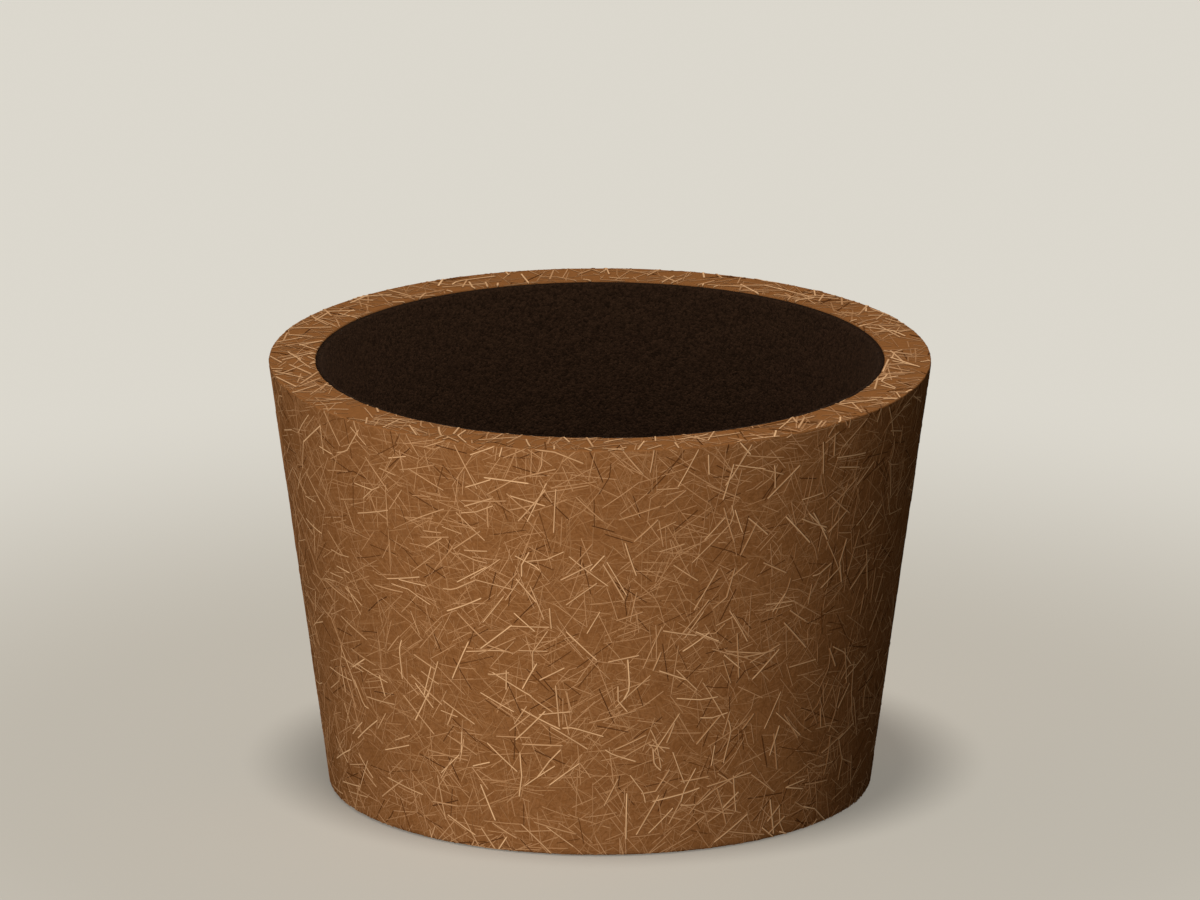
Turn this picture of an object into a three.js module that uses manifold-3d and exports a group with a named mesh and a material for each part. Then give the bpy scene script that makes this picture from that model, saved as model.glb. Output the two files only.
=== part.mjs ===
// A round coir plant pot: a thick strip of coir felt rolled into a tapered wall, a felt base wedged
// into the wall's narrow end, and a thin dark mat of coir pith that lines both. Latex bonds them.
// Millimetres, +Z up. The origin is the centre of the flat ring that the pot stands on.
import * as THREE from "three";
import { mergeVertices } from "three/addons/utils/BufferGeometryUtils.js";
import Module from "manifold-3d";

// Driving dimensions
const RIM_DIAMETER = 236; // outside of the wall, at the rim
const FOOT_DIAMETER = 193; // outside of the wall, where it stands
const HEIGHT = 156; // foot to rim
const WALL_THICKNESS = 16.5; // level width of the rim's flat face
const BASE_THICKNESS = 16.5; // the base is cut from felt like the wall's
const BASE_LIFT = 3; // height of the base above the floor, so that the drain stays clear
const DRAIN_DIAMETER = 18; // the one hole in the middle of the base
const LINING_THICKNESS = 2; // pith mat on the wall and on the base
const BOND_LINE = 0.3; // latex between one piece and the next, and in the seams

// Felt and pith have no sharp corners: each cut edge is softened by this much
const RIM_SOFTNESS = 0.5;
const FOOT_SOFTNESS = 1;
const DRAIN_SOFTNESS = 1;
const LINING_SOFTNESS = 0.5;

// Where the ends of each rolled strip meet, turned from +Y: the seams lie on opposite sides
const WALL_SEAM_ANGLE = 0;
const LINING_SEAM_ANGLE = Math.PI;

// Fineness of the facets
const STEPS_AROUND = 72;
const STEPS_PER_EDGE = 3;

// The cone that every piece takes its radii from
const TAPER = (RIM_DIAMETER - FOOT_DIAMETER) / 2 / HEIGHT; // radius gained per unit of height
const wallOutside = (z) => FOOT_DIAMETER / 2 + TAPER * z;
const wallInside = (z) => wallOutside(z) - WALL_THICKNESS;
const bondedInside = (z) => wallInside(z) - BOND_LINE; // edge of a piece that is bonded into the wall
const liningInside = (z) => bondedInside(z) - LINING_THICKNESS;
const floorEdge = (z) => liningInside(z) - BOND_LINE; // of the lining's floor, inside its sleeve
const drain = () => DRAIN_DIAMETER / 2;

// Heights of the pieces that stack up inside the wall
const BASE_TOP = BASE_LIFT + BASE_THICKNESS;
const LINING_FOOT = BASE_TOP + BOND_LINE; // both parts of the lining stand on the base
const BASE_LINING_TOP = LINING_FOOT + LINING_THICKNESS;
const WALL_LINING_TOP = HEIGHT - RIM_SOFTNESS; // where the rim's soft edge ends

const coirFelt = new THREE.MeshStandardMaterial({ color: 0x885b37, roughness: 0.95, metalness: 0 });
const coirPith = new THREE.MeshStandardMaterial({ color: 0x22170e, roughness: 1, metalness: 0 });

const wasm = await Module();
wasm.setup();

// The solid that a closed geometry bounds
function solidOf(geometry) {
  const bare = geometry.clone().deleteAttribute("normal").deleteAttribute("uv");
  const merged = mergeVertices(bare);
  const mesh = new wasm.Mesh({
    numProp: 3,
    vertProperties: Float32Array.from(merged.attributes.position.array),
    triVerts: Uint32Array.from(merged.index.array),
  });
  return new wasm.Manifold(mesh);
}

// One geometry with another cut out of it
function cutAway(geometry, cutter) {
  const { vertProperties, triVerts } = solidOf(geometry).subtract(solidOf(cutter)).getMesh();
  const result = new THREE.BufferGeometry();
  result.setAttribute("position", new THREE.BufferAttribute(vertProperties, 3));
  result.setIndex(new THREE.BufferAttribute(triVerts, 1));
  result.computeVertexNormals();
  return result;
}

// Closed outline through corners of { at: Vector2, softness }, each rounded off by a curve that
// leaves its two sides at that distance from the corner.
function softOutline(corners) {
  const outline = new THREE.Path();
  corners.forEach(({ at, softness }, i) => {
    const before = corners.at(i - 1).at;
    const after = corners[(i + 1) % corners.length].at;
    const towards = (other) => {
      const reach = Math.min(softness, at.distanceTo(other) / 2);
      return at.clone().lerp(other, reach / at.distanceTo(other));
    };
    const start = towards(before);
    const end = towards(after);
    if (i === 0) outline.moveTo(start.x, start.y);
    else outline.lineTo(start.x, start.y);
    if (softness > 0) outline.quadraticCurveTo(at.x, at.y, end.x, end.y);
  });
  outline.closePath();
  return outline.getPoints(STEPS_PER_EDGE);
}

// A ring with straight sides, turned about Z, that stands on z = 0. outside and inside give its two
// radii at a height in the pot, between foot and top.
function turnedRing({ foot, top, outside, inside, softness }) {
  const corner = (radius, z, soft = 0) => ({
    at: new THREE.Vector2(radius(z), z - foot),
    softness: soft,
  });
  const profile = softOutline([
    corner(outside, foot, softness.footOutside),
    corner(outside, top, softness.topOutside),
    corner(inside, top, softness.topInside),
    corner(inside, foot, softness.footInside),
  ]);
  return new THREE.LatheGeometry(profile, STEPS_AROUND).rotateX(Math.PI / 2);
}

// The same ring, rolled from a strip: one bond line is left open where the strip's ends meet
function rolledRing(ring, seamAngle) {
  const height = ring.top - ring.foot;
  const reach = RIM_DIAMETER; // from the axis to well outside the wall
  const slit = new THREE.BoxGeometry(BOND_LINE, reach, 2 * height);
  slit.translate(0, reach / 2, height / 2).rotateZ(seamAngle);
  return cutAway(turnedRing(ring), slit);
}

function piece(name, material, geometry, foot) {
  const mesh = new THREE.Mesh(geometry, material);
  mesh.name = name;
  mesh.position.z = foot;
  return mesh;
}

// The wall: an even strip of felt with square-cut edges, rolled into a cone, that carries the rest
function coirWall() {
  const ring = {
    foot: 0,
    top: HEIGHT,
    outside: wallOutside,
    inside: wallInside,
    softness: { footOutside: FOOT_SOFTNESS, topOutside: RIM_SOFTNESS, topInside: RIM_SOFTNESS },
  };
  return piece("coir_wall", coirFelt, rolledRing(ring, WALL_SEAM_ANGLE), ring.foot);
}

// The base: a felt disc with the wall's own taper on its edge, so that its load wedges it tighter
function coirBase() {
  const ring = {
    foot: BASE_LIFT,
    top: BASE_TOP,
    outside: bondedInside,
    inside: drain,
    softness: { footInside: DRAIN_SOFTNESS },
  };
  return piece("coir_base", coirFelt, turnedRing(ring), ring.foot);
}

// The sleeve of the lining stands on the base and reaches up to the rim's soft edge
function wallLining() {
  const ring = {
    foot: LINING_FOOT,
    top: WALL_LINING_TOP,
    outside: bondedInside,
    inside: liningInside,
    softness: { topInside: LINING_SOFTNESS },
  };
  return piece("wall_lining", coirPith, rolledRing(ring, LINING_SEAM_ANGLE), ring.foot);
}

// The floor of the lining goes in last and holds the sleeve's foot. The drain runs on through it.
function baseLining() {
  const ring = {
    foot: LINING_FOOT,
    top: BASE_LINING_TOP,
    outside: floorEdge,
    inside: drain,
    softness: { topInside: DRAIN_SOFTNESS },
  };
  return piece("base_lining", coirPith, turnedRing(ring), ring.foot);
}

const coirPot = new THREE.Group();
coirPot.name = "coir_pot";
coirPot.add(coirWall(), coirBase(), wallLining(), baseLining());

export default coirPot;
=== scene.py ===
# %% [markdown]
# # A coir plant pot
# The pot is four plain pieces: a thick strip of coconut-fibre felt rolled into a cone, a felt base
# wedged into its narrow end, and a sleeve and a floor of dark pith mat that line the inside.
# The solids already hold every size, so this lesson reads them as a fixed frame and gives each one
# the surface it has in the hand: matted felt, thousands of separate fibres, and crumbly pith.

# %% Load the solids
import itertools
import math

import bpy
import numpy as np
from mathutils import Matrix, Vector


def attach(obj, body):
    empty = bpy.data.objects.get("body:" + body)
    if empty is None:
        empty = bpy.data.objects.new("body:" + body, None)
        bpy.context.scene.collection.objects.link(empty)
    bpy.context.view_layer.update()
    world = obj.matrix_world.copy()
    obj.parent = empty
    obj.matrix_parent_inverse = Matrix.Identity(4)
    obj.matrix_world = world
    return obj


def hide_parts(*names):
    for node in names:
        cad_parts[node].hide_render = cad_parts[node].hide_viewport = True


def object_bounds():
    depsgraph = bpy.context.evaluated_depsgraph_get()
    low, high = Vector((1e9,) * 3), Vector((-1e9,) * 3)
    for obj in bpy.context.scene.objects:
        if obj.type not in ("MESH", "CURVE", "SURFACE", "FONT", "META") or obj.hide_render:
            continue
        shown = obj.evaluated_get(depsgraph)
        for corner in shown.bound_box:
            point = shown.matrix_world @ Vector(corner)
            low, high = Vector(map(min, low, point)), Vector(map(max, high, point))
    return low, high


MM = 0.001
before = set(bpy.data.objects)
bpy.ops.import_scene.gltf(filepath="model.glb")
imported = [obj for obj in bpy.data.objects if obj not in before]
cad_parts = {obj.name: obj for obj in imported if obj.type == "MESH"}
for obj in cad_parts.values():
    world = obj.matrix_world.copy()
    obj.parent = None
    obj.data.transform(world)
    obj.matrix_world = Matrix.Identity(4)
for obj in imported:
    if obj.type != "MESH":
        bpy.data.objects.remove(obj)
cad_low, cad_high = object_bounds()


def size_in_mm(low, high):
    """Width, depth and height of a box, from its lowest and highest corners."""
    return [round((end - start) / MM, 1) for start, end in zip(low, high)]


print("solids:", ", ".join(sorted(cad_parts)))
print("box in mm:", size_in_mm(cad_low, cad_high))

# %% [markdown]
# ## Reading an outline
# Every solid here is one outline turned about the pot's axis. Cutting a solid along the +X axis gives
# that outline back, and each visible piece is then turned from it again with far more points. A
# subdivision modifier would be quicker to add, but it would round the square-cut rim and its facets
# would stay where the solid had them.

# %% Outlines of the four solids
ON_PLANE = 0.01 * MM
SAME_DECIMALS = 6  # corners that agree to a millionth of a metre are one


def outline_of(node):
    """Outline of a turned solid as rows of (radius, height), anticlockwise.

    The outline is convex, so its corners are the solid's corners on the +X side of the XZ plane,
    sorted by their direction from the middle.
    """
    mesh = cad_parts[node].data
    points = np.empty(3 * len(mesh.vertices), np.float32)
    mesh.vertices.foreach_get("co", points)
    x, y, z = points.reshape(-1, 3).T.astype(float)
    on_plane = (x > 0) & (np.abs(y) < ON_PLANE)
    corners = np.unique(np.round(np.stack([x, z], 1)[on_plane], SAME_DECIMALS), axis=0)
    radial, upward = (corners - corners.mean(0)).T
    return corners[np.argsort(np.arctan2(upward, radial))]


outlines = {node: outline_of(node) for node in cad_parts}
for node, outline in outlines.items():
    print(node, "outline of", len(outline), "corners, radius up to", outline[:, 0].max().round(4), "m")

# %% [markdown]
# ## From an outline to a surface
# A surface is a grid of points: one row per point of the outline, one column per angle. The rows are
# close together where the piece is seen and few where it is bonded to its neighbour.

# %% Rows and columns of a turned surface
def sides_of(outline):
    """The sides of a closed outline, each from its corner to the next, and their lengths."""
    sides = np.roll(outline, -1, axis=0) - outline
    return sides, np.hypot(*sides.T)


def nothing_hidden(out, up):
    """Hides no side, whichever way it faces."""
    return np.zeros_like(out, bool)


def refined(outline, spacing, hidden=nothing_hidden):
    """Cuts the sides of an outline into equal steps no longer than spacing; hidden sides stay whole.

    hidden takes the outward normal of each side, as its radial and its upward share.
    """
    sides, lengths = sides_of(outline)
    bonded = hidden(sides[:, 1] / lengths, -sides[:, 0] / lengths)
    steps = np.where(bonded, 1, np.ceil(lengths / spacing)).astype(int)
    side = np.repeat(np.arange(len(outline)), steps)
    share = np.concatenate([np.arange(count) / count for count in steps])
    return outline[side] + share[:, None] * sides[side]


def spun(radial, upward, angles):
    """Carries rows of (radial, upward) round the axis: (radial cos a, radial sin a, upward)."""
    shape = np.broadcast_shapes(np.shape(radial), np.shape(upward), np.shape(angles))
    parts = [radial * np.cos(angles), radial * np.sin(angles), np.broadcast_to(upward, shape)]
    return np.stack(parts, -1)


def normals_along(profile):
    """Outward normal of a closed profile: the chord between both neighbours, turned by 90 degrees."""
    chord = np.roll(profile, -1, axis=0) - np.roll(profile, 1, axis=0)
    chord /= np.hypot(*chord.T)[:, None]
    return chord[:, 1], -chord[:, 0]


for node, outline in outlines.items():
    print(node, "outline is", round(sides_of(outline)[1].sum() / MM), "mm round")

# %% [markdown]
# ## From arrays to a mesh
# Whole arrays are handed to the mesh at once, because a Python loop over a hundred thousand points is
# slow to run and hard to read. Nothing on the pot moves by itself, so every piece rides on its one body.

# %% Mesh from arrays
def mesh_piece(name, points, faces, maps, smooth=True):
    """Mesh object from points, faces of four corners and UV maps with one entry per face corner."""
    mesh = bpy.data.meshes.new(name)
    mesh.vertices.add(len(points))
    mesh.vertices.foreach_set("co", points.astype(np.float32).ravel())
    mesh.loops.add(faces.size)
    mesh.loops.foreach_set("vertex_index", faces.astype(np.int32).ravel())
    mesh.polygons.add(len(faces))
    mesh.polygons.foreach_set("loop_start", np.arange(0, faces.size, faces.shape[1], dtype=np.int32))
    mesh.polygons.foreach_set("use_smooth", np.full(len(faces), smooth))
    for map_name, corners in maps.items():
        layer = mesh.uv_layers.new(name=map_name, do_init=False)
        layer.uv.foreach_set("vector", corners.astype(np.float32).ravel())
    mesh.update(calc_edges=True)
    piece = bpy.data.objects.new(name, mesh)
    bpy.context.scene.collection.objects.link(piece)
    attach(piece, "root")
    print(name, "has", 2 * len(faces), "triangles")
    return piece


# %% [markdown]
# ## Uneven felt and pith
# Pressed felt isn't smooth: it has soft lumps as wide as a finger and tufts on top of them. Pith is
# a crust of crumbs. Both come from value noise, worked out here in numpy and not in the material, so
# that the outline of the pot is uneven too and the fibres can follow the same lumps.

# %% Value noise in space
NOISE_MARGIN = 10 * MM


def lumps(points, height, cell, seed):
    """Random heights, up or down by at most height, that change smoothly over about one cell.

    Each corner of a cubic lattice has a random number. A point blends the numbers of the eight
    corners round it by 3t^2 - 2t^3 along each axis, where t is its place between two corners.
    """
    low = np.array(cad_low) - NOISE_MARGIN
    counts = np.ceil((np.array(cad_high) + NOISE_MARGIN - low) / cell).astype(int) + 2
    numbers = np.random.default_rng(seed).uniform(-1, 1, counts)
    place = (points - low) / cell
    corner = np.floor(place).astype(int)
    t = place - corner
    far = t * t * (3 - 2 * t)
    total = np.zeros(points.shape[:-1])
    for step in itertools.product((0, 1), repeat=3):
        weight = np.prod(np.where(step, far, 1 - far), axis=-1)
        total += weight * numbers[tuple(np.moveaxis(corner + step, -1, 0))]
    return height * total


# %% Relief of felt and pith
# Height, cell and seed of each layer of lumps
FELT_SWELLS = (0.08 * MM, 9 * MM, 1)
FELT_TUFTS = (0.03 * MM, 2.6 * MM, 2)
PITH_CLODS = (0.2 * MM, 6 * MM, 3)
PITH_CRUMBS = (0.18 * MM, 1.7 * MM, 4)
FOOT_SINK = 0.3 * MM
FACING = 0.5  # share of a normal past which a side faces that way


def felt_relief(points, up):
    """Height of the felt over its smooth form: wide soft lumps, and tufts on them.

    up is the upward share of the normal. A side that faces down is sunk, because the pot stands on
    the fibres there.
    """
    soft = lumps(points, *FELT_SWELLS) + lumps(points, *FELT_TUFTS)
    return soft - FOOT_SINK * (up < -FACING)


def pith_relief(points, up):
    """Height of the pith over its smooth form, whichever way it faces: clods, and crumbs on them."""
    return lumps(points, *PITH_CLODS) + lumps(points, *PITH_CRUMBS)


for label, coats in {"felt": (FELT_SWELLS, FELT_TUFTS), "pith": (PITH_CLODS, PITH_CRUMBS)}.items():
    print(label, "is uneven by up to", round(sum(height for height, _, _ in coats) / MM, 2), "mm")

# %% [markdown]
# ## Seams
# A rolled strip has a seam where its ends meet, pressed into a shallow groove. A bump in the material
# would vanish at the pot's outline, so the groove is geometry, with a few extra columns close to it.

# %% Columns and groove at a seam
SEAM_DEPTH = 0.9 * MM
SEAM_WIDTH = 0.45 * MM
SEAM_COLUMNS = np.array([-0.9, -0.6, -0.3, 0.3, 0.6, 0.9]) * MM


def column_angles(steps, seam, radius):
    """Even angles round the axis, and extra ones beside the seam, which lies on an even angle."""
    even = np.arange(steps) * 2 * np.pi / steps
    extra = [] if seam is None else seam + SEAM_COLUMNS / radius
    return np.sort(np.concatenate([even, extra]))


def grooved(lift, radius, up, turn):
    """Takes a Gaussian of the distance across the seam, which is at turn 0, off the lift.

    The level edges have no groove, because they are trimmed flush after the strip is rolled.
    """
    across = np.sin(turn) * radius
    beside = (np.cos(turn) > 0) * np.exp(-((across / SEAM_WIDTH) ** 2)) * (np.abs(up) < FACING)
    return lift * (1 - beside) - SEAM_DEPTH * beside


print("a seam is", round(SEAM_DEPTH / MM, 2), "mm deep, with", len(SEAM_COLUMNS), "columns of its own")

# %% [markdown]
# ## Turning a piece
# Each turned piece gets two UV maps. One lays the whole surface out without overlaps, in two rows so
# that both directions have about the same resolution. The other measures metres along the surface, for
# patterns that lie in the felt.

# %% Turned pieces with relief and maps
BAKE_MAP = "OFBake"
FELT_MAP = "felt_lie"


def grid_faces(rows, columns):
    """Faces of a grid that closes both ways, and the row and column of each corner before it wraps."""
    row, column = np.divmod(np.arange(rows * columns), columns)
    corner_row = row[:, None] + np.array([0, 0, 1, 1])
    corner_column = column[:, None] + np.array([0, 1, 1, 0])
    return corner_row % rows * columns + corner_column % columns, corner_row, corner_column


def turned_piece(name, node, spacing, steps, hidden, relief, seam=None, flat=False, bond=0.0):
    """Turns a solid's outline into a fine surface and lays it out.

    A point moves along its normal: by the relief where it is seen, and by the bond, the latex behind
    it, where it is hidden. Nothing goes below the floor. A flat piece takes its felt map from X and Y,
    and its bore from turn and height.
    """
    profile = refined(outlines[node], spacing, hidden)
    angles = column_angles(steps, seam, profile[:, 0].max())
    radius, height = (part[:, None] for part in profile.T)
    out, up = (part[:, None] for part in normals_along(profile))
    points = spun(radius, height, angles)
    lift = relief(points, up)
    if seam is not None:
        lift = grooved(lift, radius, up, angles - seam)
    points += spun(out, up, angles) * np.where(hidden(out, up), bond, lift)[..., None]
    points[..., 2] = np.maximum(points[..., 2], cad_low[2])
    points = points.reshape(-1, 3)

    faces, corner_row, corner_column = grid_faces(len(profile), len(angles))
    sides, lengths = sides_of(profile)
    turn = np.append(angles, angles[0] + 2 * np.pi)[corner_column]
    walk = np.append(0, np.cumsum(lengths))[corner_row]
    half = turn[:, :1] >= np.pi
    bake = np.stack([turn / np.pi - half, 0.5 * half + 0.5 * walk / walk.max()], -1)
    lie = np.stack([turn * (profile[:, 0].min() if flat else profile[:, 0].mean()), walk], -1)
    if flat:
        level = (np.abs(sides[:, 0]) > np.abs(sides[:, 1]))[corner_row[:, 0]]
        lie[level] = points[faces[level]][..., :2]
    return mesh_piece(name, points, faces, {BAKE_MAP: bake, FELT_MAP: lie})


# %% [markdown]
# ## The felt wall and base
# The wall is the outside, the rim and the foot in one strip, with its seam at the back. It is cut
# square at the rim and only its edges are soft. The base is the same felt, so both use one relief.
# A side that is bonded to another piece is never seen, so it keeps its few points. The base's grow by
# the thickness of the latex, which closes the gap between the solids.

# %% Felt wall and felt base
BACK = np.pi / 2
BOND = 0.28 * MM


def lined_side(out, up):
    """The inside of the wall, which the lining covers."""
    return out < -FACING


def wedged_side(out, up):
    """The edge of the base, in the wall, and its top, under the lining."""
    return (out > FACING) | (up > FACING)


felt_wall = turned_piece(
    "felt_wall", "coir_wall", spacing=1.5 * MM, steps=600, hidden=lined_side, relief=felt_relief,
    seam=BACK,
)
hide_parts("coir_wall")
felt_base = turned_piece(
    "felt_base", "coir_base", spacing=2 * MM, steps=360, hidden=wedged_side, relief=felt_relief,
    flat=True, bond=BOND,
)
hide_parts("coir_base")

# %% [markdown]
# ## The pith lining
# A thin dark mat keeps soil from washing through the felt. It has no fibres that the eye can follow,
# only crumbs, so its relief is finer and rougher. The sleeve's seam faces the wall's.

# %% Pith sleeve and pith floor
FRONT = 3 * np.pi / 2


def backed_side(out, up):
    """The outside and the underside of the lining, which lie against the felt."""
    return (out > FACING) | (up < -FACING)


pith_sleeve = turned_piece(
    "pith_sleeve", "wall_lining", spacing=1.2 * MM, steps=600, hidden=backed_side, relief=pith_relief,
    seam=FRONT, bond=BOND,
)
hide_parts("wall_lining")
pith_floor = turned_piece(
    "pith_floor", "base_lining", spacing=1.2 * MM, steps=420, hidden=backed_side, relief=pith_relief,
    flat=True, bond=BOND,
)
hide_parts("base_lining")

# %% [markdown]
# ## Laying fibres
# The felt is a sheet before it is rolled, and its fibres lie flat in that sheet at every angle. So each
# fibre is a nearly straight line drawn on the unrolled sheet, trimmed where it would leave it, and then
# rolled up with the sheet. Where the sheet ends in a soft edge, the fibre bends round it. Blender's hair
# could grow them instead, but hair stands up from a surface, and these are pressed into it.

# %% Unrolled sides of the felt
EDGE_STEP = 0.2 * MM
CLOSE_TO = 0.9  # cosine past which a side's normal is close to a direction


def side_facing(outline, out, up):
    """Number of the longest side of an outline whose normal is close to a direction."""
    sides, lengths = sides_of(outline)
    facing = (sides[:, 1] * out - sides[:, 0] * up) / lengths
    return np.argmax(np.where(facing > CLOSE_TO, lengths, 0))


class Sheet:
    """One straight side of an outline, turned about the axis, and its flat pattern.

    A cone unrolls into a ring sector: a point at radius r and angle a on the cone is at distance
    r / fan and angle fan a on the pattern, where fan is the change of radius per length of side. A
    flat disc is the case fan = 1. Angles count from the cut, where the rolled strip's ends meet.
    Fibres may run past the side's first and last end by two overhangs. crowd is the share of the
    usual number of fibres. comb above 1 turns them along the strip, below 1 across it, and bulk makes
    them thicker where they are less pressed.
    """

    def __init__(self, outline, facing, cut=None, overhangs=(0, 0), crowd=1.0, comb=1.0, bulk=1.0):
        corners = np.roll(outline, -side_facing(outline, *facing), axis=0)
        self.first_radius, self.last_radius = corners[:2, 0]
        self.length = math.dist(corners[0], corners[1])
        self.fan = abs(self.last_radius - self.first_radius) / self.length
        self.loop = refined(corners, EDGE_STEP)
        self.normals = normals_along(self.loop)
        _, steps = sides_of(self.loop)
        self.walked = np.cumsum(steps) - steps
        self.perimeter = steps.sum()
        self.cut, self.overhangs = cut, overhangs
        self.crowd, self.comb, self.bulk = crowd, comb, bulk

    def scatter(self, per_area, margin, rng):
        """Random middles, as distance on the pattern and angle on the pot, also a margin off its edges.

        The same number falls on each area, so the square of the distance is uniform.
        """
        low, high = sorted((self.first_radius / self.fan, self.last_radius / self.fan))
        low, high = max(low - margin, 0), high + margin
        over = 0 if self.cut is None else margin / min(self.first_radius, self.last_radius)
        count = round(self.crowd * per_area * self.fan * (np.pi + over) * (high**2 - low**2))
        return np.sqrt(rng.uniform(low**2, high**2, count)), rng.uniform(-over, 2 * np.pi + over, count)

    def place(self, lines, start):
        """Distance along the side and angle round the axis of points on the pattern.

        start is the angle at which each line begins its walk.
        """
        radius = self.fan * np.hypot(lines[..., 0], lines[..., 1])
        bearing = np.arctan2(lines[..., 1], lines[..., 0]) - self.fan * start
        angle = start + np.arctan2(np.sin(bearing), np.cos(bearing)) / self.fan
        share = (radius - self.first_radius) / (self.last_radius - self.first_radius)
        return share * self.length, angle

    def holds(self, walked, angle, overhangs):
        """Whether points are on the side, or at most the overhangs past its ends, and inside the cut."""
        inside = (walked >= -overhangs[0]) & (walked <= self.length + overhangs[1])
        return inside if self.cut is None else inside & (angle >= 0) & (angle <= 2 * np.pi)

    def surface(self, walked, angle):
        """Points and normals at distances along the outline, which goes on round its edges."""
        rows = [*self.loop.T, *self.normals]
        looked_up = [np.interp(walked, self.walked, row, period=self.perimeter) for row in rows]
        radius, height, out, up = looked_up
        turn = angle + (self.cut or 0)
        return spun(radius, height, turn), spun(out, up, turn)


# %% [markdown]
# ## The four sides with fibres
# The outside was combed a little along the strip when the felt was made. The rim is a cut through the
# sheet, so fewer fibres lie on it, and they are thicker, because no press has flattened them. The foot
# and the underside of the base are plain felt.

# %% Sheets of the wall and the base
strip = outlines["coir_wall"]
sheets = {
    "outside": Sheet(strip, (1, 0), cut=BACK, overhangs=(0.5 * MM, 0.5 * MM), comb=1.25),
    "rim": Sheet(
        strip, (0, 1), cut=BACK, overhangs=(0.25 * MM, 0.7 * MM), crowd=0.7, comb=0.9, bulk=1.5
    ),
    "foot": Sheet(strip, (0, -1), cut=BACK, overhangs=(0.8 * MM, 0.8 * MM)),
    "underside": Sheet(outlines["coir_base"], (0, -1)),
}
for label, sheet in sheets.items():
    print(label, "is", round(sheet.length / MM, 1), "mm of the outline")

# %% [markdown]
# ## The mix of fibres
# Five kinds show in the felt: thick pale straws on top, thinner tan ones beside them, many fine and
# faint ones that sink into the mat, and a few dark ones. Each kind has its own count per square
# centimetre, size and tone, stands proud of the felt by its own height, and is cut into as many rings
# and sides as it needs. The tone goes into the fibre's UV map, so one material can colour them all.
# The cut rim shows twice as many straws and none of the faint ones.

# %% Kinds of fibre
KINDS = {
    "straw": {
        "per_cm2": 1.0, "length": (7 * MM, 18 * MM), "width": 0.7 * MM, "proud": 0.1 * MM,
        "tone": (0.74, 1.0), "rings": 9, "sides": 6,
    },
    "tan": {
        "per_cm2": 3.0, "length": (7 * MM, 19 * MM), "width": 0.4 * MM, "proud": 0.07 * MM,
        "tone": (0.52, 0.78), "rings": 5, "sides": 4,
    },
    "fine": {
        "per_cm2": 3.4, "length": (8 * MM, 20 * MM), "width": 0.34 * MM, "proud": 0.04 * MM,
        "tone": (0.4, 0.56), "rings": 5, "sides": 4,
    },
    "faint": {
        "per_cm2": 2.6, "length": (8 * MM, 20 * MM), "width": 0.34 * MM, "proud": 0.02 * MM,
        "tone": (0.28, 0.4), "rings": 5, "sides": 4,
    },
    "dark": {
        "per_cm2": 0.6, "length": (7 * MM, 16 * MM), "width": 0.46 * MM, "proud": 0.07 * MM,
        "tone": (0.0, 0.16), "rings": 5, "sides": 4,
    },
}
RIM_KINDS = ["straw", "straw", "tan", "fine", "dark"]
print("fibres on each square centimetre:", sum(kind["per_cm2"] for kind in KINDS.values()))

# %% [markdown]
# ## Lines on the pattern
# A coir fibre bows a little, and some have a sharp elbow where they were folded in the press. The bow
# and the elbow are sideways steps on the pattern, so a formula gives all points of all fibres at once.

# %% Random lines
SQUARE_CM = 1e-4
BOW = 0.012  # usual step aside at the ends, in half-lengths
ELBOW = 0.5  # usual slope after an elbow
ELBOW_SHARE = 0.16  # of the fibres
BEND_RANGE = (-0.5, 0.5)  # where the elbow is, between the ends at -1 and 1
WIDTH_RANGE = (0.8, 1.2)  # times the kind's width
PROUD_RANGE = (0.3, 1)  # times the kind's height over the felt


def drawn_fibres(sheet, kind, rng):
    """One row of random draws per fibre, by name."""
    middle, start = sheet.scatter(kind["per_cm2"] / SQUARE_CM, kind["length"][1] / 2, rng)
    count = len(middle)
    lie = rng.uniform(0, 2 * np.pi, count)
    return {
        "middle": middle,
        "start": start,
        "way": sheet.fan * start + np.arctan2(sheet.comb * np.sin(lie), np.cos(lie)),
        "half": rng.uniform(*kind["length"], count) / 2,
        "bow": rng.normal(0, BOW, count),
        "bend": rng.uniform(*BEND_RANGE, count),
        "elbow": rng.normal(0, ELBOW, count) * (rng.random(count) < ELBOW_SHARE),
        "width": sheet.bulk * kind["width"] * rng.uniform(*WIDTH_RANGE, count),
        "tone": rng.uniform(*kind["tone"], count),
        "proud": kind["proud"] * rng.uniform(*PROUD_RANGE, count),
    }


def lines_on(sheet, draws, t):
    """Points of each fibre on the pattern, for rows of t from -1 to 1.

    A point is the middle plus t half-lengths along the fibre's way, and bow t^2 + elbow max(0, t - bend)
    half-lengths to its side.
    """
    middle, start, way, half, bow, bend, elbow = (
        draws[name][:, None] for name in ("middle", "start", "way", "half", "bow", "bend", "elbow")
    )
    aside = bow * t**2 + elbow * np.maximum(0, t - bend)
    x = middle * np.cos(sheet.fan * start) + half * (t * np.cos(way) - aside * np.sin(way))
    y = middle * np.sin(sheet.fan * start) + half * (t * np.sin(way) + aside * np.cos(way))
    return sheet.place(np.stack([x, y], -1), start)


print(f"{ELBOW_SHARE:.0%} of the fibres have an elbow")

# %% [markdown]
# ## Trimming the lines
# A fibre stops where its sheet does. It gets a ring of points at both ends, at the elbow and where it
# meets a soft edge, so that a few faces are enough to follow the felt. Cutting the finished ribbons with
# a Boolean would be slow and would leave ragged ends.

# %% Rings of each fibre
TRIM_STEPS = 65
EDGE_SHARES = (0.04, 0.25)  # where the edge rings may be, as shares of the fibre from its ends
KNEE_SHARE = 0.4  # the elbow ring keeps at least this share from both ends
SHORTEST = 2  # widths


def run_inside(inside, t):
    """The t at which each row's first run of points inside begins and ends."""
    first = inside.argmax(1)
    gone = ~inside & (np.arange(len(t)) > first[:, None])
    last = np.where(gone.any(1), gone.argmax(1) - 1, len(t) - 1)
    return t[first], t[last]


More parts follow.
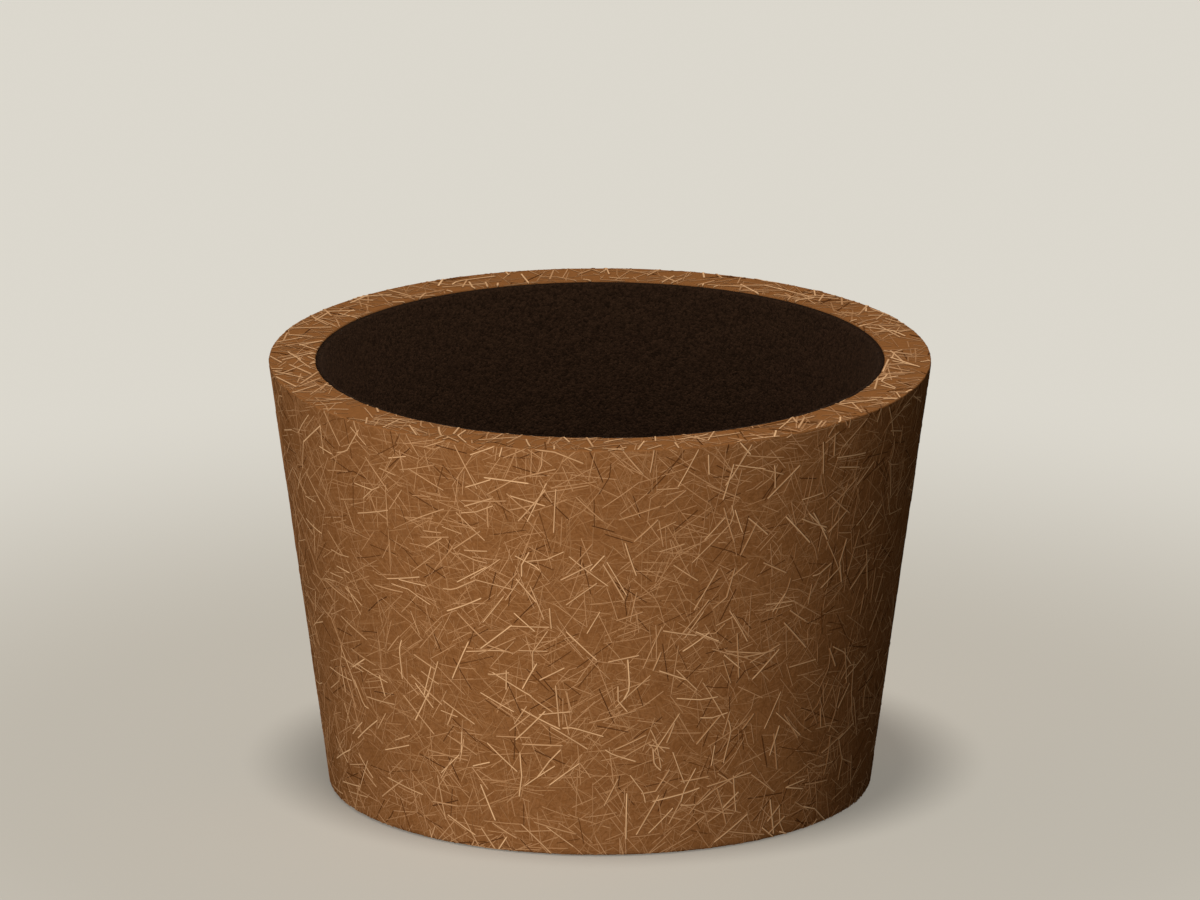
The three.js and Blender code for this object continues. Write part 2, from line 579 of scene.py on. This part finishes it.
def ring_stops(sheet, draws, rings):
    """Trims each fibre to its sheet and gives the t of its rings; too short ones are left out.

    The rings are at both ends, at the elbow, where a fibre goes round an edge of the sheet, and half
    way between those if there are more.
    """
    t = np.linspace(-1, 1, TRIM_STEPS)
    walked, angle = lines_on(sheet, draws, t[None])
    near, far = run_inside(sheet.holds(walked, angle, sheet.overhangs), t)
    near_edge, far_edge = run_inside(sheet.holds(walked, angle, (0, 0)), t)
    span = far - near
    least, most = EDGE_SHARES
    near_edge = np.clip(near_edge, near + least * span, near + most * span)
    far_edge = np.clip(far_edge, far - most * span, far - least * span)
    knee = np.clip(draws["bend"], near + KNEE_SHARE * span, far - KNEE_SHARE * span)
    stops = np.stack([near, near_edge, knee, far_edge, far], 1)
    while stops.shape[1] < rings:
        between = (stops[:, 1:] + stops[:, :-1]) / 2
        stops = np.insert(stops, range(1, stops.shape[1]), between, axis=1)
    kept = span * draws["half"] > SHORTEST * draws["width"]
    return {name: draw[kept] for name, draw in draws.items()}, stops[kept]


print("each fibre is looked at in", TRIM_STEPS, "places")

# %% [markdown]
# ## Faces of a ribbon
# All fibres of one kind have the same faces, so one ribbon is worked out and repeated. Its UV map holds
# its tone in u, which changes only a little round the ribbon, and the way along it in v.

# %% One ribbon's faces and UV corners
WALL_V, WALL_V_SPAN = 0.06, 0.88
NEAR_END_V, FAR_END_V, END_V_SPAN = 0.02, 0.96, 0.02


def ribbon_faces(count, rings, sides):
    """Faces of many ribbons with closed ends, four corners each, and one ribbon's UV corners and flanks.

    u runs round the ribbon and v along it. An end is cut into quads that share its first corner. Every
    face but the level top, which is the last side of each ring, counts as a flank; the flanks get painted
    shade.
    """
    ring, side = np.divmod(np.arange((rings - 1) * sides), sides)
    corner_ring = ring[:, None] + np.array([0, 1, 1, 0])
    corner_side = side[:, None] + np.array([0, 0, 1, 1])
    walls = corner_ring * sides + corner_side % sides
    along = WALL_V + WALL_V_SPAN * corner_ring / (rings - 1)
    wall_corners = np.stack([corner_side / sides, along], -1)
    fan = 2 * np.arange(sides // 2 - 1)[:, None] + np.array([0, 1, 2, 3])
    fan[:, 0] = 0
    ends = np.concatenate([fan, (rings - 1) * sides + fan[:, ::-1]])
    end_side = np.concatenate([fan, fan[:, ::-1]]) / sides
    end_along = np.repeat([[NEAR_END_V], [FAR_END_V]], len(fan), axis=0)
    end_along = end_along + END_V_SPAN * np.array([0, 1, 1, 0])
    end_corners = np.stack([end_side, end_along], -1)
    one = np.concatenate([walls, ends])
    # Flank faces, which get painted shade
    shaded_flank = np.append(side < sides - 1, np.full(len(ends), True))
    faces = (np.arange(count) * rings * sides)[:, None, None] + one
    return faces.reshape(-1, 4), np.concatenate([wall_corners, end_corners]), shaded_flank


for label, kind in KINDS.items():
    print("a", label, "fibre has", len(ribbon_faces(1, kind["rings"], kind["sides"])[0]), "faces")

# %% [markdown]
# ## Ribbons
# Seen close, a pressed fibre is a flat ribbon: its top lies along the felt and takes the same light, so
# that on the shaded side of the pot it is in shade too. A round tube would catch the light there. Its
# flanks sink into the mat, and they are painted darker than the felt, as painted shade that outlines
# each fibre. Its ends are blunt, because the fibres are chopped.

# %% Ribbons along the lines
FLATNESS = 0.35  # height of a ribbon, in widths
BLUNT = 0.6  # width of its ends, in widths
# Flank faces are painted towards this dark tone: painted shade where each fibre sinks into the mat
FLANK_SHADE_TONE = 0.2
FLANK_SHADING = 0.8  # how far the flanks go towards that tone
TONE_U, TONE_U_SPAN, ROUND_U_SPAN = 0.02, 0.94, 0.012


def ribbons(sheet, kind, rng):
    """Points, faces and UV corners of all fibres of one kind on one sheet.

    A ring's corners are spread evenly over an ellipse that is FLATNESS as high as it is wide, with a
    level side on top. It lies on the felt's own relief, a little proud of it.
    """
    draws, stops = ring_stops(sheet, drawn_fibres(sheet, kind, rng), kind["rings"])
    spine, normal = sheet.surface(*lines_on(sheet, draws, stops))
    spine = spine + normal * (felt_relief(spine, normal[..., 2]) + draws["proud"][:, None])[..., None]
    side = np.cross(np.gradient(spine, axis=1), normal)
    side /= np.linalg.norm(side, axis=-1, keepdims=True)
    count, rings = stops.shape
    sides = kind["sides"]
    turn = np.pi / 2 + (np.arange(sides) + 0.5) * 2 * np.pi / sides
    across = side[:, :, None] * np.cos(turn)[:, None]
    above = normal[:, :, None] * (FLATNESS * np.sin(turn))[:, None]
    taper = np.ones(rings)
    taper[[0, -1]] = BLUNT
    swell = 0.5 * draws["width"][:, None, None, None] * taper[:, None, None]
    points = spine[:, :, None] + swell * (across + above)
    points[..., 2] = np.maximum(points[..., 2], cad_low[2])

    faces, corners, shaded_flank = ribbon_faces(count, rings, sides)
    # Painted shade: flank faces are painted towards the dark flank tone
    tone = draws["tone"][:, None] + (FLANK_SHADE_TONE - draws["tone"][:, None]) * FLANK_SHADING * shaded_flank
    corners = np.broadcast_to(corners, (count,) + corners.shape).copy()
    corners[..., 0] = TONE_U + TONE_U_SPAN * tone[..., None] + ROUND_U_SPAN * corners[..., 0]
    return points.reshape(-1, 3), faces, corners.reshape(-1, 4, 2)


def fibre_piece(name, sheet, kinds, seed):
    """All fibres of some kinds on one sheet, joined into one piece."""
    rng = np.random.default_rng(seed)
    batches = [ribbons(sheet, KINDS[kind], rng) for kind in kinds]
    offsets = np.cumsum([0] + [len(points) for points, _, _ in batches])
    points = np.concatenate([points for points, _, _ in batches])
    faces = np.concatenate([faces + offset for (_, faces, _), offset in zip(batches, offsets)])
    corners = np.concatenate([corners for _, _, corners in batches])
    return mesh_piece(name, points, faces, {BAKE_MAP: corners}, smooth=False)


# %% [markdown]
# ## Fibre pieces
# The wall has so many fibres that each kind is a piece of its own. The rim, the foot and the underside
# have fewer, so all their kinds share one piece each. Every piece has its own seed, and a change to one
# doesn't draw the others anew.

# %% Fibres on the wall, its rim and its foot, and under the base
FIRST_SEED = 11
beds = [(f"wall_{kind}_fibres", "outside", [kind]) for kind in KINDS]
beds += [
    ("rim_fibres", "rim", RIM_KINDS),
    ("foot_fibres", "foot", list(KINDS)),
    ("base_fibres", "underside", list(KINDS)),
]
fibres = [
    fibre_piece(name, sheets[side], kinds, FIRST_SEED + number)
    for number, (name, side, kinds) in enumerate(beds)
]
print(len(fibres), "pieces of fibres")

# %% [markdown]
# ## Grain
# Felt, fibres and pith are all plant matter, mottled at about the size of a crumb. One node group makes
# that mottling for all three materials, and each material sets its own size and contrast. The group
# puts out a shade to multiply a colour by and a height for a bump, and the shader stays in the material.

# %% Helpers for node groups
def new_group(name, inputs, outputs):
    """Empty shader node group with the named sockets, and its input and output nodes."""
    group = bpy.data.node_groups.new(name, "ShaderNodeTree")
    for label, kind, value in inputs:
        socket = group.interface.new_socket(label, in_out="INPUT", socket_type=kind)
        if value is not None:
            socket.default_value = value
    for label, kind in outputs:
        group.interface.new_socket(label, in_out="OUTPUT", socket_type=kind)
    return group, group.nodes.new("NodeGroupInput"), group.nodes.new("NodeGroupOutput")


def set_or_link(tree, socket, value):
    """Gives a socket its value, which is a number, a colour or another socket."""
    if isinstance(value, bpy.types.NodeSocket):
        tree.links.new(value, socket)
    else:
        socket.default_value = value


def math_node(tree, operation, *operands):
    """Math node with each operand either a number or a socket; gives back its result."""
    node = tree.nodes.new("ShaderNodeMath")
    node.operation = operation
    for socket, operand in zip(node.inputs, operands):
        set_or_link(tree, socket, operand)
    return node.outputs[0]


# %% Node group for grain
MOTTLE_DETAIL = 3.0
MOTTLE_SCALE = 0.5  # a mottle is as large as two crumbs
grain_group, grain_in, grain_out = new_group(
    "crumb_grain",
    [
        ("Vector", "NodeSocketVector", None),
        ("Grains per metre", "NodeSocketFloat", 800.0),
        ("Contrast", "NodeSocketFloat", 0.3),
    ],
    [("Shade", "NodeSocketFloat"), ("Height", "NodeSocketFloat")],
)
crumbs = grain_group.nodes.new("ShaderNodeTexVoronoi")
mottle = grain_group.nodes.new("ShaderNodeTexNoise")
mottle.inputs["Detail"].default_value = MOTTLE_DETAIL
for texture in (crumbs, mottle):
    grain_group.links.new(grain_in.outputs["Vector"], texture.inputs["Vector"])
grain_group.links.new(grain_in.outputs["Grains per metre"], crumbs.inputs["Scale"])
mottle_scale = math_node(grain_group, "MULTIPLY", grain_in.outputs["Grains per metre"], MOTTLE_SCALE)
grain_group.links.new(mottle_scale, mottle.inputs["Scale"])
crumb_tone = grain_group.nodes.new("ShaderNodeSeparateColor")
grain_group.links.new(crumbs.outputs["Color"], crumb_tone.inputs["Color"])
both = math_node(grain_group, "ADD", crumb_tone.outputs["Red"], mottle.outputs["Fac"])
swing = math_node(grain_group, "SUBTRACT", both, 1.0)
swing = math_node(grain_group, "MULTIPLY", swing, grain_in.outputs["Contrast"])
grain_group.links.new(math_node(grain_group, "ADD", swing, 1.0), grain_out.inputs["Shade"])
grain_height = math_node(grain_group, "SUBTRACT", mottle.outputs["Fac"], crumbs.outputs["Distance"])
grain_group.links.new(grain_height, grain_out.inputs["Height"])
print("node group", grain_group.name, "ready")

# %% [markdown]
# ## Matted streaks
# Below the fibres that can be counted lies a mat of faint ones. They are too many to model, so they are
# noise stretched along the felt in six directions. Each direction keeps only the crests of its noise.
# The group is used twice: for streaks a little paler than the felt, and for a little darker ones.

# %% Node group for matted streaks
STREAK_TURNS = [8, 41, 73, 104, 137, 166]  # degrees
STREAK_SHIFT = 7.3  # from the noise of one direction to the next
CREST_RISE = 0.1  # of the noise, from no streak to a full one
streak_group, streak_in, streak_out = new_group(
    "matted_streaks",
    [
        ("Vector", "NodeSocketVector", None),
        ("Streaks per metre along", "NodeSocketFloat", 90.0),
        ("Streaks per metre across", "NodeSocketFloat", 1500.0),
        ("Crest", "NodeSocketFloat", 0.6),
        ("Shift", "NodeSocketFloat", 0.0),
    ],
    [("Mask", "NodeSocketFloat")],
)
stretch = streak_group.nodes.new("ShaderNodeCombineXYZ")
streak_group.links.new(streak_in.outputs["Streaks per metre along"], stretch.inputs["X"])
streak_group.links.new(streak_in.outputs["Streaks per metre across"], stretch.inputs["Y"])
crest_top = math_node(streak_group, "ADD", streak_in.outputs["Crest"], CREST_RISE)


def streaks_at(degrees, shift):
    """Mask of the streaks in one direction: the crests of a noise that is stretched along it."""
    turned = streak_group.nodes.new("ShaderNodeVectorRotate")
    turned.rotation_type = "Z_AXIS"
    turned.inputs["Angle"].default_value = math.radians(degrees)
    streak_group.links.new(streak_in.outputs["Vector"], turned.inputs["Vector"])
    stretched = streak_group.nodes.new("ShaderNodeVectorMath")
    stretched.operation = "MULTIPLY"
    streak_group.links.new(turned.outputs["Vector"], stretched.inputs[0])
    streak_group.links.new(stretch.outputs["Vector"], stretched.inputs[1])
    noise = streak_group.nodes.new("ShaderNodeTexNoise")
    noise.noise_dimensions = "4D"
    noise.inputs["Scale"].default_value = 1.0
    noise.inputs["Detail"].default_value = 0.0
    streak_group.links.new(stretched.outputs["Vector"], noise.inputs["Vector"])
    shifted = math_node(streak_group, "ADD", streak_in.outputs["Shift"], shift)
    streak_group.links.new(shifted, noise.inputs["W"])
    crest = streak_group.nodes.new("ShaderNodeMapRange")
    crest.interpolation_type = "SMOOTHSTEP"
    streak_group.links.new(noise.outputs["Fac"], crest.inputs["Value"])
    streak_group.links.new(streak_in.outputs["Crest"], crest.inputs["From Min"])
    streak_group.links.new(crest_top, crest.inputs["From Max"])
    return crest.outputs["Result"]


mask = streaks_at(STREAK_TURNS[0], 0.0)
for number, degrees in enumerate(STREAK_TURNS[1:], 1):
    mask = math_node(streak_group, "MAXIMUM", mask, streaks_at(degrees, STREAK_SHIFT * number))
streak_group.links.new(mask, streak_out.inputs["Mask"])
print("node group", streak_group.name, "with", len(STREAK_TURNS), "directions")

# %% [markdown]
# ## Steps that the materials share
# Each material is a Principled shader with a few nodes before it. A constant is set on the shader's own
# socket, where the export can read it, and only what changes over the surface comes from nodes.

# %% Helpers for materials
# The Mix node has a set of sockets for each kind of data. These are its colours
MIX_FIRST, MIX_SECOND, MIX_RESULT = 6, 7, 2


def shade(red, green, blue):
    """Linear colour for the shaders from a colour as a screen shows it, 0 to 255 (the sRGB curve)."""
    screen = np.array([red, green, blue]) / 255
    linear = np.where(screen <= 0.04045, screen / 12.92, ((screen + 0.055) / 1.055) ** 2.4)
    return (*linear.tolist(), 1.0)


def new_material(name, roughness, specular):
    """Material with only its Principled shader, which every constant is set on directly."""
    material = bpy.data.materials.new(name)
    material.use_nodes = True
    shader = material.node_tree.nodes["Principled BSDF"]
    shader.inputs["Roughness"].default_value = roughness
    shader.inputs["Specular IOR Level"].default_value = specular
    return material, material.node_tree, shader


def grouped(tree, group, vector, **values):
    """Uses a node group on a vector, with its named inputs set to values."""
    node = tree.nodes.new("ShaderNodeGroup")
    node.node_tree = group
    tree.links.new(vector, node.inputs["Vector"])
    for label, value in values.items():
        node.inputs[label.replace("_", " ")].default_value = value
    return node.outputs


def mixed(tree, factor, first, second, blend="MIX"):
    """Mixes two colours, each a colour or a socket, by a factor that is a number or a socket."""
    node = tree.nodes.new("ShaderNodeMix")
    node.data_type = "RGBA"
    node.blend_type = blend
    set_or_link(tree, node.inputs["Factor"], factor)
    set_or_link(tree, node.inputs[MIX_FIRST], first)
    set_or_link(tree, node.inputs[MIX_SECOND], second)
    return node.outputs[MIX_RESULT]


def bumped(tree, shader, height, distance):
    """Tilts the shader's normal by a height of this many metres."""
    bump = tree.nodes.new("ShaderNodeBump")
    bump.inputs["Distance"].default_value = distance
    tree.links.new(height, bump.inputs["Height"])
    tree.links.new(bump.outputs["Normal"], shader.inputs["Normal"])


# %% [markdown]
# ## Felt finish
# Coir felt is a warm matt brown that doesn't shine, so the shader is rough and has no specular. Its
# colour goes from the felt's own brown towards a paler streak and a darker streak, and the grain
# multiplies the result. The streaks lie in the sheet, so the rim, where the sheet is cut, has none. The
# grain also feeds a bump of a few hundredths of a millimetre. A deeper bump would turn to dark scratches
# on the rim, which the low key light only grazes.

# %% Felt material
FELT = shade(131, 84, 45)
FELT_PALE = shade(155, 107, 66)
FELT_DARK = shade(110, 66, 32)
STREAK_STRENGTH = 0.35
FELT_BUMP = 0.04 * MM
felt, tree, shader = new_material("coir_felt", roughness=0.95, specular=0.0)
place = tree.nodes.new("ShaderNodeTexCoord").outputs["Object"]
lie = tree.nodes.new("ShaderNodeUVMap")
lie.uv_map = FELT_MAP
pale = grouped(tree, streak_group, lie.outputs["UV"], Crest=0.58)["Mask"]
dark = grouped(tree, streak_group, lie.outputs["UV"], Crest=0.62, Shift=60.0)["Mask"]
grain = grouped(tree, grain_group, place, Grains_per_metre=900.0, Contrast=0.1)
facing = tree.nodes.new("ShaderNodeSeparateXYZ")
tree.links.new(tree.nodes.new("ShaderNodeNewGeometry").outputs["Normal"], facing.inputs["Vector"])
cut = math_node(tree, "MAXIMUM", facing.outputs["Z"], 0.0)
strength = math_node(tree, "MULTIPLY", math_node(tree, "SUBTRACT", 1.0, cut), STREAK_STRENGTH)
colour = mixed(tree, math_node(tree, "MULTIPLY", pale, strength), FELT, FELT_PALE)
colour = mixed(tree, math_node(tree, "MULTIPLY", dark, strength), colour, FELT_DARK)
colour = mixed(tree, 1.0, colour, grain["Shade"], "MULTIPLY")
tree.links.new(colour, shader.inputs["Base Color"])
bumped(tree, shader, grain["Height"], FELT_BUMP)
print("material", felt.name)

# %% [markdown]
# ## Fibre finish
# A coir fibre is husk: dark brown when it is left as it grew, straw-coloured when it is retted and
# washed. The u of its UV map is its tone, from dark to straw, and a colour ramp turns tone into colour.
# Its ends are a little darker, where the cut shows.

# %% Fibre material
TONES = [
    (0.02, shade(80, 46, 22)),
    (0.2, shade(108, 66, 32)),
    (0.32, shade(142, 96, 57)),
    (0.5, shade(160, 113, 72)),
    (0.74, shade(186, 138, 95)),
    (0.98, shade(228, 181, 133)),
]
END_SHARPNESS = 6.0
END_DARKENING = 0.3
GRAIN_STRETCH = (0.02, 0.01, 1.0)
fibre, tree, shader = new_material("coir_fibre", roughness=0.85, specular=0.0)
tone_map = tree.nodes.new("ShaderNodeUVMap")
tone_map.uv_map = BAKE_MAP
split = tree.nodes.new("ShaderNodeSeparateXYZ")
tree.links.new(tone_map.outputs["UV"], split.inputs["Vector"])
ramp = tree.nodes.new("ShaderNodeValToRGB")
ramp.color_ramp.elements[0].position = TONES[0][0]
ramp.color_ramp.elements[1].position = TONES[-1][0]
for position, _ in TONES[1:-1]:
    ramp.color_ramp.elements.new(position)
for element, (_, tone) in zip(ramp.color_ramp.elements, TONES):
    element.color = tone
tree.links.new(split.outputs["X"], ramp.inputs["Fac"])
from_middle = math_node(tree, "ABSOLUTE", math_node(tree, "SUBTRACT", split.outputs["Y"], 0.5))
near_end = math_node(tree, "POWER", math_node(tree, "MULTIPLY", from_middle, 2.0), END_SHARPNESS)
ends = math_node(tree, "MULTIPLY", near_end, END_DARKENING)
along = tree.nodes.new("ShaderNodeMapping")
along.inputs["Scale"].default_value = GRAIN_STRETCH
tree.links.new(tone_map.outputs["UV"], along.inputs["Vector"])
grain = grouped(tree, grain_group, along.outputs["Vector"], Grains_per_metre=900.0, Contrast=0.16)
colour = mixed(tree, ends, ramp.outputs["Color"], FELT_DARK)
colour = mixed(tree, 1.0, colour, grain["Shade"], "MULTIPLY")
tree.links.new(colour, shader.inputs["Base Color"])
print("material", fibre.name, "with", len(TONES), "tones")

# %% [markdown]
# ## Pith finish
# Pith is the dust between the fibres, pressed into a mat: brown-black. Lower down it is painted a shade
# darker, as painted shade deeper inside the pot. Its crumbs differ in tone, so the grain has a strong
# contrast here.

# %% Pith material
# The pith is painted a shade darker towards the bottom of the pot, as painted shade deeper inside it
PITH_TOP = shade(37, 24, 15)
PITH_LOW_SHADE = shade(36, 23, 14)
DEPTH_SHADE_SHARE = 0.62  # of the pot's height
PITH_BUMP = 0.3 * MM
pith, tree, shader = new_material("coir_pith", roughness=1.0, specular=0.02)
place = tree.nodes.new("ShaderNodeTexCoord").outputs["Object"]
split = tree.nodes.new("ShaderNodeSeparateXYZ")
tree.links.new(place, split.inputs["Vector"])
# Painted shade: 0 low in the pot, 1 at the rim
depth_shade_ramp = tree.nodes.new("ShaderNodeMapRange")
depth_shade_ramp.inputs["From Min"].default_value = cad_low[2] + DEPTH_SHADE_SHARE * (cad_high[2] - cad_low[2])
depth_shade_ramp.inputs["From Max"].default_value = cad_high[2]
tree.links.new(split.outputs["Z"], depth_shade_ramp.inputs["Value"])
grain = grouped(tree, grain_group, place, Grains_per_metre=1400.0, Contrast=0.8)
colour = mixed(tree, depth_shade_ramp.outputs["Result"], PITH_LOW_SHADE, PITH_TOP)
colour = mixed(tree, 1.0, colour, grain["Shade"], "MULTIPLY")
tree.links.new(colour, shader.inputs["Base Color"])
bumped(tree, shader, grain["Height"], PITH_BUMP)
print("material", pith.name)

# %% [markdown]
# ## Which piece has which finish
# The fibres have a material of their own, but they are part of the felt. Each row of the table also names
# a slot of the pot's record, the same one for felt and fibres and the other for the pith, but nothing
# here reads it.

# %% Give every piece its finish
felt_surfaces = [felt_wall, felt_base]
pith_pieces = [pith_sleeve, pith_floor]
FINISHES = [
    (felt, "coir_felt", felt_surfaces),
    (fibre, "coir_felt", fibres),
    (pith, "coir_pith", pith_pieces),
]
for material, slot, pieces in FINISHES:
    for piece in pieces:
        piece.data.materials.append(material)
    print(material.name, "is on", ", ".join(piece.name for piece in pieces))

# %% [markdown]
# ## Floor
# A studio backdrop is one plain pale sheet that looks a little brighter away from the object. Here it is a
# large flat floor with that brightening painted in as painted light: its tone depends on the distance from
# the pot's axis, so no lamp has to be turned up until the floor burns out. Under the pot it is painted
# dark, as painted shade. The camera sees these tones, and light that bounces from the floor to the pot
# meets a darker one, so the pot's shaded side stays deep.

# %% Floor mesh
FLOOR_REACH = 8.0
corners = FLOOR_REACH * np.array([[-1, -1, 0], [1, -1, 0], [1, 1, 0], [-1, 1, 0]])
floor_mesh = bpy.data.meshes.new("floor")
floor_mesh.from_pydata(corners.tolist(), [], [(0, 1, 2, 3)])
floor = bpy.data.objects.new("floor", floor_mesh)
bpy.context.scene.collection.objects.link(floor)
print("floor", 2 * FLOOR_REACH, "m wide")

# %% Floor paint
# Painted light: the floor is painted from this darker tone near the pot to the paler one far away
FLOOR_NEAR = shade(190, 184, 172)
FLOOR_FAR = shade(219, 215, 205)
FLOOR_BOUNCE = shade(90, 88, 84)
# Painted shade: the floor's tone under the pot's foot
FLOOR_UNDER_POT_SHADE = shade(58, 54, 48)
COVERED_RADIUS = outlines["coir_wall"][:, 0].min()
PAINTED_LIGHT_START = 0.2  # metres from the axis, where the floor starts to brighten
PAINTED_LIGHT_END = 0.52


def seen_directly(tree):
    """1 for what the camera sees, straight, mirrored or through glass, and 0 for bounced light."""
    path = tree.nodes.new("ShaderNodeLightPath").outputs
    seen = math_node(tree, "MAXIMUM", path["Is Camera Ray"], path["Is Glossy Ray"])
    return math_node(tree, "MAXIMUM", seen, path["Is Transmission Ray"])


floor_paint = bpy.data.materials.new("floor_paint")
floor_paint.use_nodes = True
floor_mesh.materials.append(floor_paint)
tree = floor_paint.node_tree
tree.nodes.remove(tree.nodes["Principled BSDF"])
from_axis = tree.nodes.new("ShaderNodeVectorMath")
from_axis.operation = "LENGTH"
tree.links.new(tree.nodes.new("ShaderNodeTexCoord").outputs["Object"], from_axis.inputs[0])
# Painted light: the floor's tone brightens with the distance from the axis
painted_light_ramp = tree.nodes.new("ShaderNodeMapRange")
painted_light_ramp.interpolation_type = "SMOOTHSTEP"
painted_light_ramp.inputs["From Min"].default_value = PAINTED_LIGHT_START
painted_light_ramp.inputs["From Max"].default_value = PAINTED_LIGHT_END
tree.links.new(from_axis.outputs["Value"], painted_light_ramp.inputs["Value"])
paint = mixed(tree, painted_light_ramp.outputs["Result"], FLOOR_NEAR, FLOOR_FAR)
# Painted shade: the floor under the pot's foot is painted dark
painted_shade_under_pot = math_node(tree, "LESS_THAN", from_axis.outputs["Value"], COVERED_RADIUS)
paint = mixed(tree, painted_shade_under_pot, paint, FLOOR_UNDER_POT_SHADE)
matt = tree.nodes.new("ShaderNodeBsdfDiffuse")
tree.links.new(mixed(tree, seen_directly(tree), FLOOR_BOUNCE, paint), matt.inputs["Color"])
tree.links.new(matt.outputs["BSDF"], tree.nodes["Material Output"].inputs["Surface"])
print("material", floor_paint.name, "brightens up to", PAINTED_LIGHT_END, "m from the axis")

# %% [markdown]
# ## Lamps
# A low, soft key from the front left leaves the right side of the pot in shade. It would only graze the
# level rim and pick out every fibre there, so the rim's fibres are taken off it, and a lamp from straight
# above lights the rim. A lamp behind shows the back, and a small one over the mouth reaches the dark pith.
# The floor has two lamps of its own from above. The second one casts no shadow, so the pot's shadow on the
# floor stays soft and pale. Light linking keeps each lamp to its pieces, as flags would in a studio.

# %% A lamp that lights some objects
SOFTNESS = {"SUN": "angle", "AREA": "size", "POINT": "shadow_soft_size"}
SUN_DISTANCE = 2.0  # only for where the lamp is drawn: a sun shines the same from anywhere
middle = Vector([0, 0, (cad_low[2] + cad_high[2]) / 2])


def studio_lamp(name, kind, azimuth, elevation, distance, power, softness, lit, shadows=True):
    """Lamp that lights only some objects and looks at the pot's middle.

    Azimuth counts from the camera's side to the left and elevation from the floor, both in degrees, so
    the lamp is at distance times (-sin a cos e, -cos a cos e, sin e) from the middle.
    """
    data = bpy.data.lights.new(name, kind)
    data.energy = power
    setattr(data, SOFTNESS[kind], softness)
    lamp = bpy.data.objects.new(name, data)
    a, e = math.radians(azimuth), math.radians(elevation)
    away = Vector([-math.sin(a) * math.cos(e), -math.cos(a) * math.cos(e), math.sin(e)])
    lamp.location = middle + distance * away
    lamp.rotation_euler = away.to_track_quat("Z", "Y").to_euler()
    bpy.context.scene.collection.objects.link(lamp)
    group = bpy.data.collections.new(name + "_lights")
    for piece in lit:
        group.objects.link(piece)
    lamp.light_linking.receiver_collection = group
    if not shadows:
        lamp.light_linking.blocker_collection = group
    print(name, "lights", len(lit), "objects")


def studio_sun(name, azimuth, elevation, power, spread, lit, shadows=True):
    """Lamp like a very large soft box far away; spread is the angle it fills, in degrees."""
    studio_lamp(name, "SUN", azimuth, elevation, SUN_DISTANCE, power, math.radians(spread), lit, shadows)


# %% Lamps on the pot and on the floor
felt_pieces = felt_surfaces + fibres
rim_fibres = next(piece for piece in fibres if piece.name == "rim_fibres")
key_pieces = [piece for piece in felt_pieces if piece is not rim_fibres]
studio_lamp(
    "key", "AREA", azimuth=22, elevation=10, distance=1.05, power=8.75, softness=0.5, lit=key_pieces
)
studio_sun("top", azimuth=0, elevation=90, power=2.08, spread=20, lit=[felt_wall, rim_fibres, pith_sleeve])
studio_sun("back", azimuth=180, elevation=12, power=2.0, spread=12, lit=felt_pieces)
studio_lamp(
    "mouth", "POINT", azimuth=0, elevation=90, distance=0.095, power=0.41, softness=0.05, lit=pith_pieces
)
studio_sun("overhead", azimuth=14, elevation=82, power=1.5, spread=12, lit=[floor])
studio_sun("floor_fill", azimuth=0, elevation=80, power=1.3, spread=24, lit=[floor], shadows=False)

# %% [markdown]
# ## Air
# A little even light comes from all round, as from the walls of a studio, and fills the deepest shade.
# The camera sees the air as pale as the floor, so the two meet without a line.

# %% World and view
AIR_SEEN = shade(226, 222, 211)
AIR_LIGHT = (0.125, 0.125, 0.125, 1.0)
world = bpy.data.worlds.new("studio")
world.use_nodes = True
bpy.context.scene.world = world
tree = world.node_tree
air = tree.nodes["Background"]
tree.links.new(mixed(tree, seen_directly(tree), AIR_LIGHT, AIR_SEEN), air.inputs["Color"])
bpy.context.scene.view_settings.view_transform = "Standard"
print("world", world.name)

# %% [markdown]
# ## Camera
# The picture is taken from straight in front and a little above, from so far away that the circles of
# the rim and the foot are almost the same ellipse. A very long lens at a long distance does that, and the
# width of the picture at the pot sets the distance.

# %% Camera
LENS_MM = 1000.0
SENSOR_MM = 36.0
PICTURE_WIDTH = 427.9 * MM
VIEW_ELEVATION = math.radians(16.2)
AIM_HEIGHT = 122.1 * MM
distance = PICTURE_WIDTH * LENS_MM / SENSOR_MM
lens = bpy.data.cameras.new("camera")
lens.lens = LENS_MM
lens.sensor_width = SENSOR_MM
lens.clip_end = 10 * distance
camera = bpy.data.objects.new("camera", lens)
camera.location = (
    0, -distance * math.cos(VIEW_ELEVATION), AIM_HEIGHT + distance * math.sin(VIEW_ELEVATION)
)
camera.rotation_euler = (math.pi / 2 - VIEW_ELEVATION, 0, 0)
bpy.context.scene.collection.objects.link(camera)
bpy.context.scene.camera = camera
print("camera", round(distance, 2), "m away")
